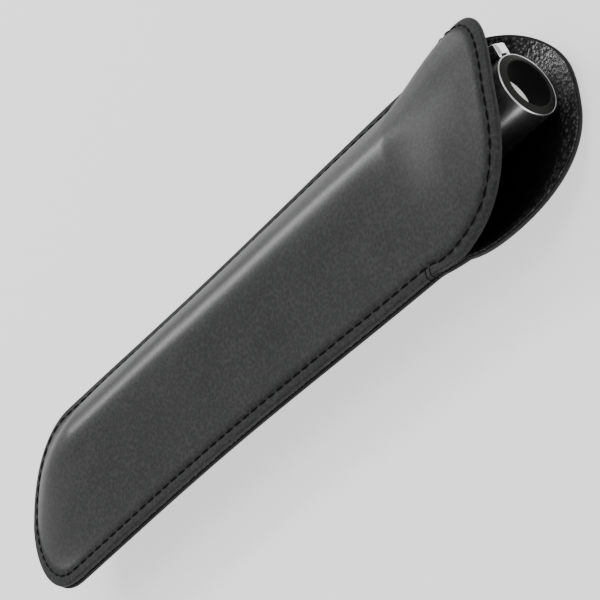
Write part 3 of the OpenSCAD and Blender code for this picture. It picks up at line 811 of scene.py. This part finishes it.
capBore = pen["capRadius"] - pen["capWall"]
top = pen["length"]
lip = top - pen["capLength"]
capTube = turned("capShell", softProfile([
    (capBore, lip + pen["lipBand"]), (pen["capRadius"], lip + pen["lipBand"]),
    (pen["capRadius"], top - pen["crownLength"]),
    (pen["capRadius"] - pen["rimSlope"], top - pen["rimStart"]),
    (pen["capRadius"] - pen["rimOuter"], top), (pen["capRadius"] - pen["rimInner"], top),
    (capBore, top - pen["rimDepth"])], pen["edgeSoft"]), capChrome)
ringBase = top - pen["recessDepth"] - pen["discThick"]
ringOuter = capBore - pen["ringGap"]
capRing = turned("capEndRing", softProfile([
    (pen["recessRadius"], ringBase), (ringOuter, ringBase), (ringOuter, top - pen["ringShoulder"]),
    (pen["capRadius"] - pen["ringEdge"], top - pen["ringSunk"]),
    (pen["recessRadius"] + pen["ringBevel"], top + pen["crownRise"]),
    (pen["recessRadius"], top + pen["crownRise"] - pen["ringBevelDepth"])], pen["ringSoft"]), satinResin)
# painted shade: the wall of the recess gets a darker material than the face of the ring
capRing.data.materials.append(recessPaintedShade)
for polygon in capRing.data.polygons:
    fromAxis = np.array(polygon.center) / mm - penOrigin
    if math.hypot(fromAxis[0], fromAxis[2]) < pen["recessRadius"] + pen["wallSlack"]:
        polygon.material_index = 1
discRadius, discHole = pen["recessRadius"] - pen["ringGap"], pen["discHole"]
discTop = ringBase + pen["discThick"]
# painted reflection: the disc's pale, glowing material stands in for what its steel face reflects
capDisc = turned("capEndDisc", softProfile([
    (discHole, ringBase), (discRadius, ringBase), (discRadius, discTop), (discHole, discTop)],
    discHole / 2), paintedReflectionDisc)
for piece, node, slot in ((capTube, "cap_tube", "chrome"), (capRing, "cap_end_ring", "black_resin"),
                          (capDisc, "cap_end_disc", "steel")):
    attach(piece, "cap")
    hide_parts(node)

clip = {"turn": 145.0, "start": 94.3, "inner": 6.4, "thick": 1.0, "halfWidth": 1.5, "headStart": 127.0,
        "headTop": 132.3, "headRise": 1.2, "headGrowth": 3, "crownRound": 1.1, "crownShare": 0.45,
        "crownDrop": 0.9, "footShare": 0.12, "corners": 8, "soft": 0.22, "softShare": 0.45,
        "footLength": 1.5, "footSteps": 9, "armFrom": 3, "armSteps": 9, "headFrom": 0.3, "headSteps": 20,
        "holeRadius": 0.42, "holeZ": 130.9, "holeOut": 7.45, "holeDepth": 0.25, "holeSides": 24,
        "holeRings": ((0.8, -0.2), (1.0, 0.02), (1.15, 0.005))}


def clipPoint(out, across, z):
    a = math.radians(clip["turn"])
    spot = np.array([out * math.cos(a) + across * math.sin(a), z, out * math.sin(a) - across * math.cos(a)])
    return Vector((penOrigin + spot) * mm)


def roundEnd(distance, radius):
    return math.sqrt(max(0.0, 1 - max(0.0, 1 - distance / radius) ** 2))


def clipStation(z):
    # inner side, outer side and half width of the clip at a height
    toHead = float(ease((z - clip["headStart"]) / clip["headGrowth"]))
    foot = roundEnd(z - clip["start"], clip["halfWidth"])
    crown = roundEnd(clip["headTop"] - z, clip["crownRound"])
    outer = clip["inner"] + clip["thick"] + clip["headRise"] * toHead
    half = clip["halfWidth"] * max(clip["footShare"], foot) * (1 - clip["crownShare"] * (1 - crown))
    return clip["inner"], outer - clip["crownDrop"] * (1 - crown) * toHead, half


def clipPiece():
    foot, head = clip["start"], clip["headStart"]
    heights = np.concatenate([np.linspace(foot, foot + clip["footLength"], clip["footSteps"]),
                              np.linspace(foot + clip["armFrom"], head, clip["armSteps"]),
                              np.linspace(head + clip["headFrom"], clip["headTop"], clip["headSteps"])])
    corners = clip["corners"]
    vertices, faces = [], []
    for z in heights:
        inner, outer, half = clipStation(z)
        for cx, cy, start in ((outer, half, 0), (inner, half, 90), (inner, -half, 180), (outer, -half, 270)):
            bend = min(clip["soft"], clip["softShare"] * half, clip["softShare"] * (outer - inner))
            for k in range(corners):
                a = math.radians(start + 90 * k / (corners - 1))
                x0 = cx + (-bend if cx == outer else bend)
                y0 = cy + (-bend if cy > 0 else bend)
                vertices.append(clipPoint(x0 + bend * math.cos(a), y0 + bend * math.sin(a), z))
    count = 4 * corners
    for k in range(len(heights) - 1):
        for j in range(count):
            m = (j + 1) % count
            faces.append((k * count + j, (k + 1) * count + j, (k + 1) * count + m, k * count + m))
    faces.append(tuple(range(count)))
    faces.append(tuple(range((len(heights) - 1) * count, len(heights) * count))[::-1])
    piece = meshPiece("clipArm", vertices, faces, [polishedChrome])
    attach(piece, "clip")
    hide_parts("clip_arm")


def pinHoleShadePiece():
    # painted shade: a dark, shallow dented disc stands for the hole in the side of the clip's head
    _, _, half = clipStation(clip["holeZ"])
    count = clip["holeSides"]
    vertices, faces = [clipPoint(clip["holeOut"], half - clip["holeDepth"], clip["holeZ"])], []
    for share, proud in clip["holeRings"]:
        r = clip["holeRadius"] * share
        for j in range(count):
            a = 2 * math.pi * j / count
            vertices.append(clipPoint(clip["holeOut"] + r * math.cos(a), half + proud,
                                      clip["holeZ"] + r * math.sin(a)))
    for j in range(count):
        m = (j + 1) % count
        faces.append((0, 1 + j, 1 + m))
        for ring in range(len(clip["holeRings"]) - 1):
            a = 1 + count * ring
            faces.append((a + j, a + count + j, a + count + m, a + m))
    hole = meshPiece("clipPinHoleShade", vertices, faces, [needleHoleShade])
    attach(hole, "clip")


clipPiece()
pinHoleShadePiece()

keptNodes = {
    "barrel": blackResin, "barrel_tail": blackResin, "barrel_band": polishedChrome, "grip": blackResin,
    "grip_ring": polishedChrome, "nib": satinSteel, "feed": blackResin, "converter_tube": clearResin,
    "converter_collar": polishedChrome, "converter_knob": blackResin, "piston": sealRubber,
    "piston_rod": satinSteel, "cap_lip_ring": polishedChrome, "cap_liner": blackResin,
    "clip_lug": polishedChrome, "clip_pin": satinSteel,
}
for node, material in keptNodes.items():
    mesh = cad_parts[node].data
    mesh.materials.clear()
    mesh.materials.append(material)
print("pen finished")

stage = {"floor": 3.0, "floorColour": (0.5, 0.5, 0.5, 1), "floorRoughness": 0.9, "floorGlow": 1.1,
         "world": 0.6}
floorMesh = bpy.data.meshes.new("floor")
half = stage["floor"] / 2
corners = [(-half, -half, 0), (half, -half, 0), (half, half, 0), (-half, half, 0)]
floorMesh.from_pydata(corners, [], [(0, 1, 2, 3)])
floor = bpy.data.objects.new("floor", floorMesh)
bpy.context.scene.collection.objects.link(floor)
paleFloor, _, _ = newMaterial("paleFloor", {
    "Base Color": stage["floorColour"], "Roughness": stage["floorRoughness"], "Emission Color": (1, 1, 1, 1),
    "Emission Strength": stage["floorGlow"]})
floorMesh.materials.append(paleFloor)

world = bpy.data.worlds.new("studio")
bpy.context.scene.world = world
world.use_nodes = True
background = world.node_tree.nodes["Background"]
background.inputs["Color"].default_value = (1, 1, 1, 1)
background.inputs["Strength"].default_value = stage["world"]

lights = {
    "backSoftbox": {"place": (-0.60, -0.62, 0.63), "size": (0.4, 0.1), "power": 7.0},
    "tongueSoftbox": {"place": (-0.77, -0.39, 0.24), "size": (0.3, 0.2), "power": 0.5},
    "topSoftbox": {"place": (0.0, 0.1, 1.1), "size": (1.0, 1.0), "power": 4.0},
}
for name, settings in lights.items():
    lamp = bpy.data.lights.new(name, "AREA")
    lamp.shape = "RECTANGLE"
    lamp.size, lamp.size_y = settings["size"]
    lamp.energy = settings["power"]
    holder = bpy.data.objects.new(name, lamp)
    holder.location = settings["place"]
    holder.rotation_euler = (-Vector(settings["place"])).to_track_quat("-Z", "Y").to_euler()
    bpy.context.scene.collection.objects.link(holder)

view = {"place": (0.29542, 0.30584, 0.24008), "turn": (34.494, 54.2011, 85.3955), "lens": 167.555,
        "sensor": 36, "nearest": 0.01}
cameraData = bpy.data.cameras.new("camera")
cameraData.lens = view["lens"]
cameraData.sensor_width = view["sensor"]
cameraData.clip_start = view["nearest"]
camera = bpy.data.objects.new("camera", cameraData)
camera.location = view["place"]
camera.rotation_euler = [math.radians(a) for a in view["turn"]]
bpy.context.scene.collection.objects.link(camera)
bpy.context.scene.camera = camera
print("stage and camera set")
